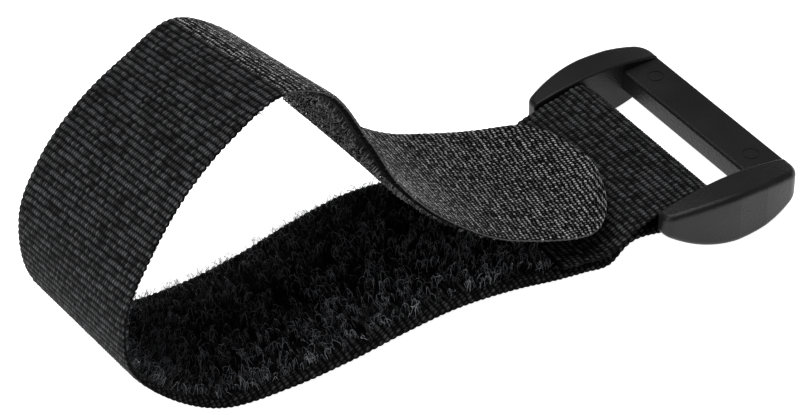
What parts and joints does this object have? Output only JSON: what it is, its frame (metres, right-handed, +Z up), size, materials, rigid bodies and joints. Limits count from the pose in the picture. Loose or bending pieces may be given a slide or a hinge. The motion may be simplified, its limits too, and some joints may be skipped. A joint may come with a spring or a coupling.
{
  "type": "strap tourniquet",
  "caption": "Narrow hook-and-loop strap folded into a loop, with a moulded rectangular buckle at one end for cinching round a limb or bundle.",
  "frame": {"origin": "centre of the buckle's rectangular frame, at the level of the surface the strap lies on", "axes": "+X along the strap from the loop towards the buckle, +Y across the tape, +Z up"},
  "size_m": [0.0888, 0.0364, 0.0381],
  "materials": {
    "buckle_plastic": "fine-grained matte moulded plastic, charcoal black",
    "loop_tape": "black ribbed woven nylon with a slight sheen",
    "loop_pile": "black unbroken loop pile, soft and dull",
    "hook_tape": "black finely ribbed woven nylon, a little brighter than the loop tape",
    "hook_field": "stiff black monofilament hooks"
  },
  "bodies": {
    "strap": {"loop_tape_fold": "loop_tape", "loop_pile_welded": "loop_pile", "loop_tape_floor": "loop_tape", "loop_pile_floor": "loop_pile"},
    "buckle": {"loop_buckle": "buckle_plastic"},
    "rise": {"loop_tape_rise": "loop_tape", "loop_pile_rise": "loop_pile"},
    "tail": {"hook_tape_tail": "hook_tape", "hook_field_tail": "hook_field"},
    "tab": {"hook_tape_tab": "hook_tape", "hook_field_tab": "hook_field"}
  },
  "joints": [
    {"name": "buckle_swing", "type": "hinge", "parent": "strap", "child": "buckle", "pos_m": [-0.00345, 0, 0.00375], "axis": [0, -1, 0], "range_deg": [-110, 110]},
    {"name": "loop_open", "type": "hinge", "parent": "strap", "child": "rise", "pos_m": [-0.07177, 0.00131, 0.00407], "axis": [-0.0591, -0.9863, 0.1537], "range_deg": [0, 110]},
    {"name": "crest_open", "type": "hinge", "parent": "rise", "child": "tail", "pos_m": [-0.0554, 0.0071, 0.03595], "axis": [0.0231, -0.9847, 0.1726], "range_deg": [0, 90]},
    {"name": "tab_peel", "type": "hinge", "parent": "tail", "child": "tab", "pos_m": [-0.02803, 0.0014, 0.00953], "axis": [-0.1529, -0.9852, 0.077], "range_deg": [0, 75]}
  ]
}
